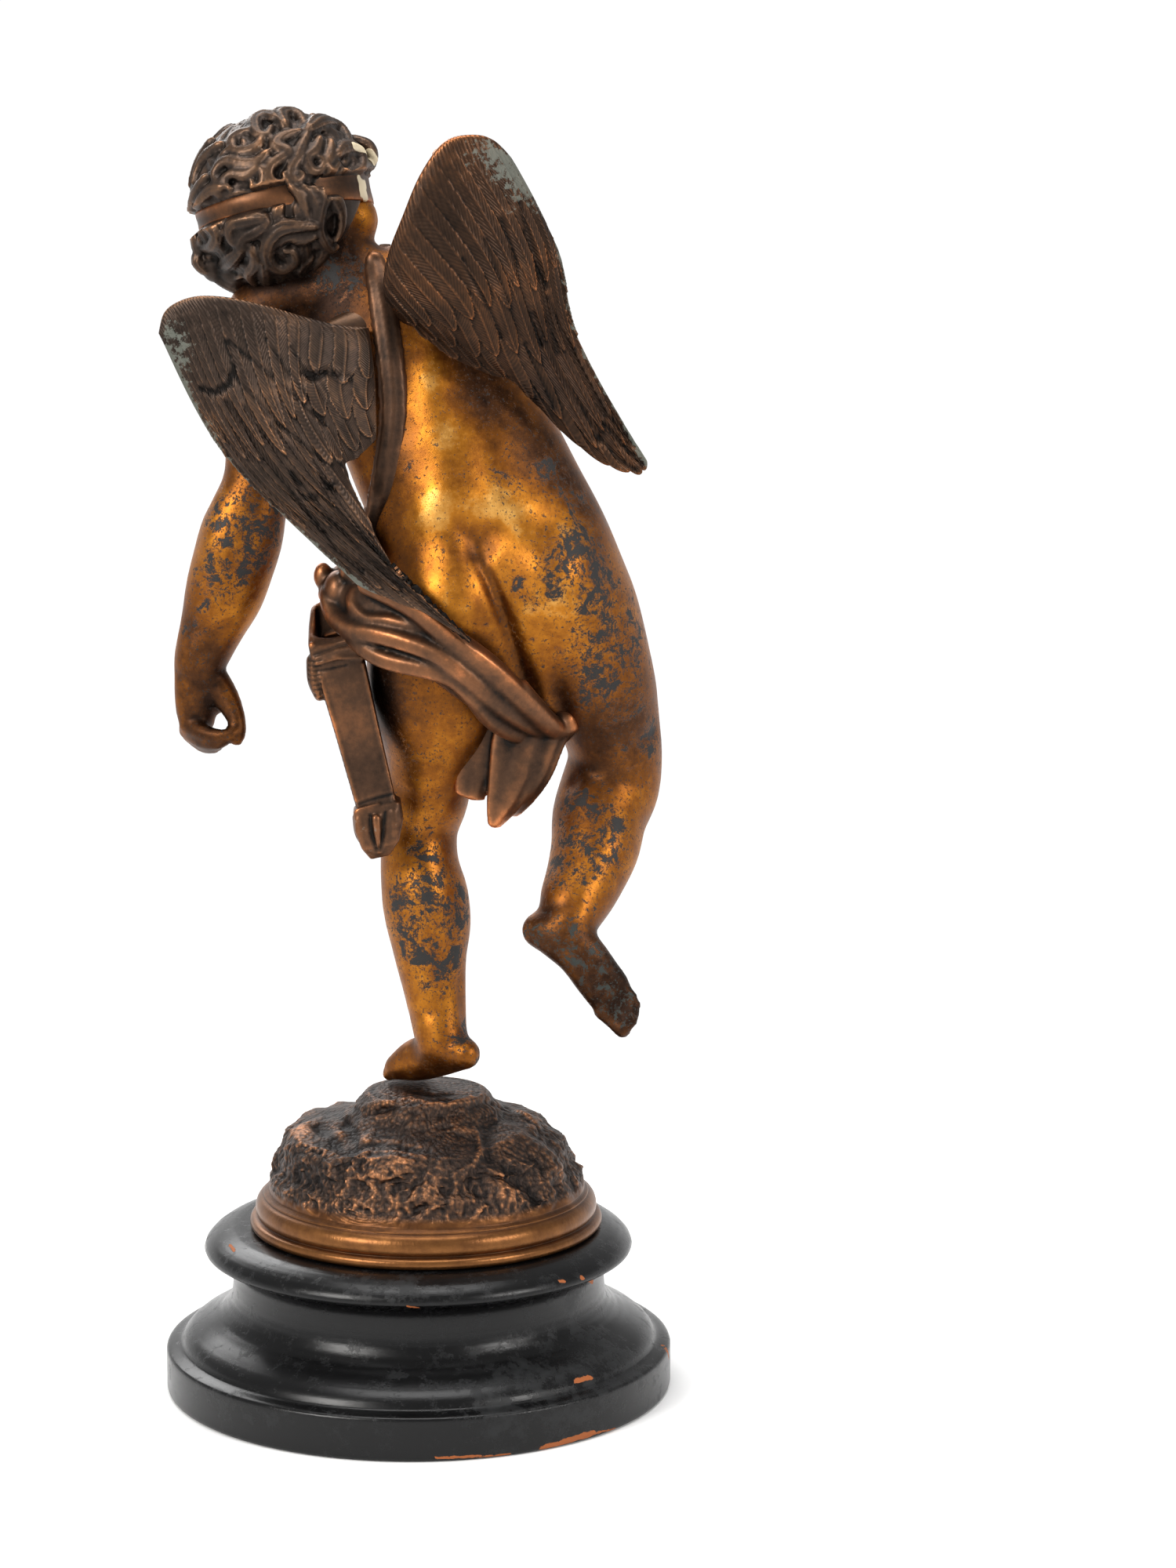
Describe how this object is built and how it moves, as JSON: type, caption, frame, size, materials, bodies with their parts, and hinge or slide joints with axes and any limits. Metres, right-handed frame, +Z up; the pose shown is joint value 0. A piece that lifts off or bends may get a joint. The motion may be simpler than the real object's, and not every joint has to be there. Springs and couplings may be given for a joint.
{
  "type": "cupid statue",
  "caption": "Striding winged child figure, blindfolded, with drapery and quiver, on a rocky mound and a turned round plinth; a table ornament.",
  "frame": {"origin": "centre of the plinth's underside", "axes": "+Z up, +Y the way the figure walks, +X to the figure's right hand"},
  "size_m": [0.15, 0.1774, 0.3747],
  "materials": {
    "gilt_bronze": "worn gilt over brown bronze, satin",
    "dark_bronze": "dark brown patina with grey-green on the raised edges",
    "brown_bronze": "brown patina, satin",
    "mound_bronze": "brown patina with copper highlights",
    "ebonised_wood": "black, semi-gloss, chipped to bare wood at the edges"
  },
  "bodies": {
    "root": {"cupid_figure": "gilt_bronze", "left_wing": "dark_bronze", "right_wing": "dark_bronze", "quiver": "brown_bronze", "rocky_mound": "mound_bronze", "turned_plinth": "ebonised_wood"}
  },
  "joints": []
}
